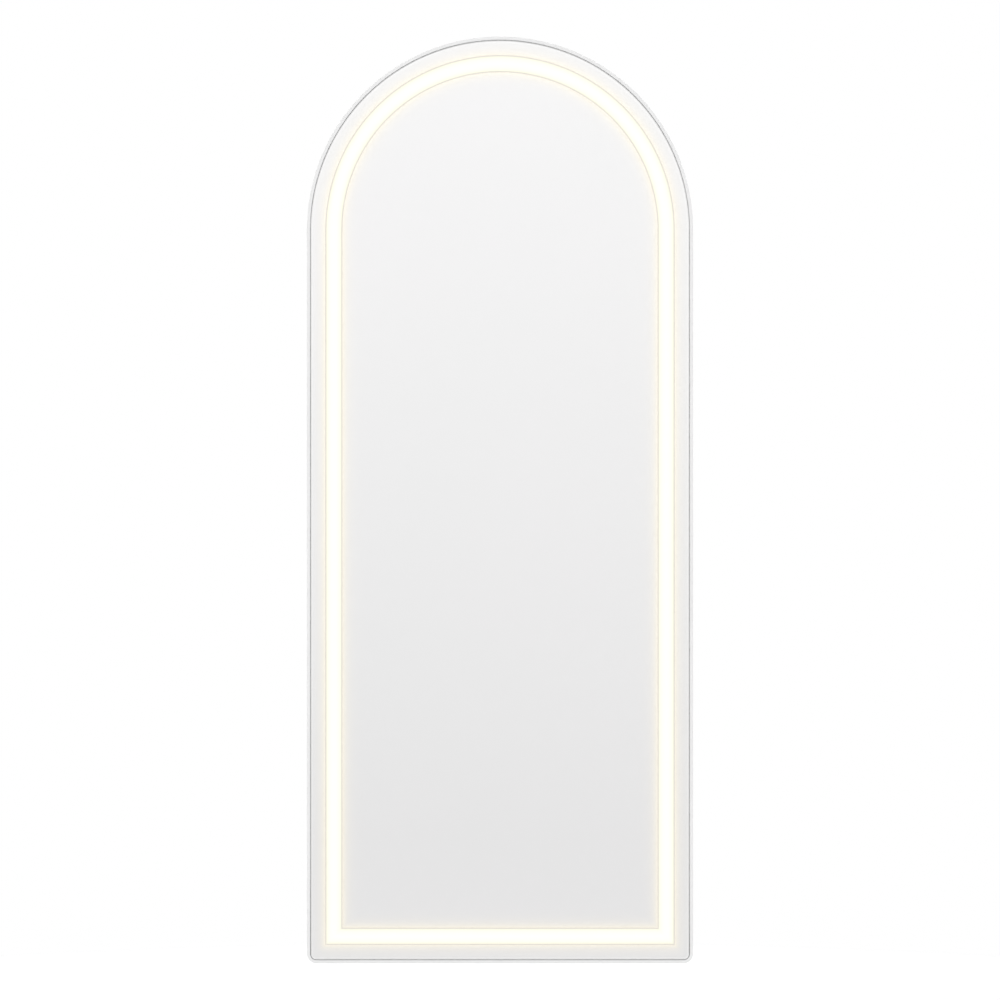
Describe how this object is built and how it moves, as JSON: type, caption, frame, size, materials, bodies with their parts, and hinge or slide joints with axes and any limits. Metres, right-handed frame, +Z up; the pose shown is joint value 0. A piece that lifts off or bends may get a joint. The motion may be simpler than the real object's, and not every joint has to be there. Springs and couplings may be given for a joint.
{
  "type": "lighted full length mirror",
  "caption": "Wall hung full length mirror with an arched top, a thin pale metal frame and a lit frosted band set in from the edge all round.",
  "frame": {"origin": "middle of the wall rail's fixing holes, on the face of the wall", "axes": "+Z up, +Y into the wall, so the mirror faces -Y; +X to the right as one looks at the mirror"},
  "size_m": [0.762, 0.042, 1.8288],
  "materials": {
    "frame_paint": "pale satin powder coat on extruded aluminium",
    "steel": "zinc plated sheet steel",
    "screw_steel": "zinc plated",
    "glass": "clear, polished edge",
    "silvering": "silvered and backed",
    "frosted_band": "etched, lit from behind",
    "foam_tape": "closed cell foam tape",
    "dark_rubber": "matt grey",
    "panel_board": "rigid foam board with a light grain",
    "channel_metal": "folded sheet, mill finish",
    "led_strip": "flexible circuit with diodes",
    "diffuser": "opal, light from behind",
    "white_plastic": "moulded",
    "cover_paint": "pale powder coat",
    "dark_plastic": "moulded",
    "brass": "turned",
    "lead_sheath": "soft insulation",
    "cable_sheath": "soft insulation",
    "button_metal": "turned, satin",
    "circuit_board": "green solder resist"
  },
  "bodies": {
    "wall_rail": {"wall_rail": "steel"},
    "mirror": {"frame": "frame_paint", "frame_splice": "steel", "splice_screws": "screw_steel", "mirror_glass": "glass", "silver_centre": "silvering", "silver_border": "silvering", "frosted_band": "frosted_band", "glass_tape": "foam_tape", "edge_seal": "dark_rubber", "setting_blocks": "dark_rubber", "back_panel": "panel_board", "panel_screws": "screw_steel", "channel_arch": "channel_metal", "channel_left": "channel_metal", "channel_right": "channel_metal", "channel_bottom": "channel_metal", "channel_rivets": "screw_steel", "led_strip_arch": "led_strip", "led_strip_left": "led_strip", "led_strip_right": "led_strip", "led_strip_bottom": "led_strip", "strip_links": "white_plastic", "diffuser_arch": "diffuser", "diffuser_left": "diffuser", "diffuser_right": "diffuser", "diffuser_bottom": "diffuser", "hanger_bar": "steel", "hanger_backing": "steel", "hanger_screws": "screw_steel", "lower_brace": "steel", "brace_screws": "screw_steel", "wall_bumpers": "dark_rubber", "wiring_box": "steel", "box_cover": "cover_paint", "box_screws": "screw_steel", "cable_bush": "dark_plastic", "led_driver": "white_plastic", "driver_screws": "screw_steel", "terminal_block": "white_plastic", "earth_terminal": "brass", "output_hub": "white_plastic", "driver_leads": "lead_sheath", "box_bushes": "dark_plastic", "feed_cable_left": "cable_sheath", "feed_cable_right": "cable_sheath", "cable_clips": "white_plastic", "button_housing": "dark_plastic", "switch_body": "dark_plastic", "dimmer_board": "circuit_board", "switch_cable": "cable_sheath"},
    "button": {"button_cap": "button_metal", "switch_plunger": "dark_plastic"}
  },
  "joints": [
    {"name": "lift_off", "type": "slide", "parent": "wall_rail", "child": "mirror", "axis": [0, 0, 1], "range_m": [0, 0.015]},
    {"name": "button_press", "type": "slide", "parent": "mirror", "child": "button", "axis": [-1, 0, 0], "range_m": [0, 0.0012], "stiffness_N_per_m": 2000}
  ]
}
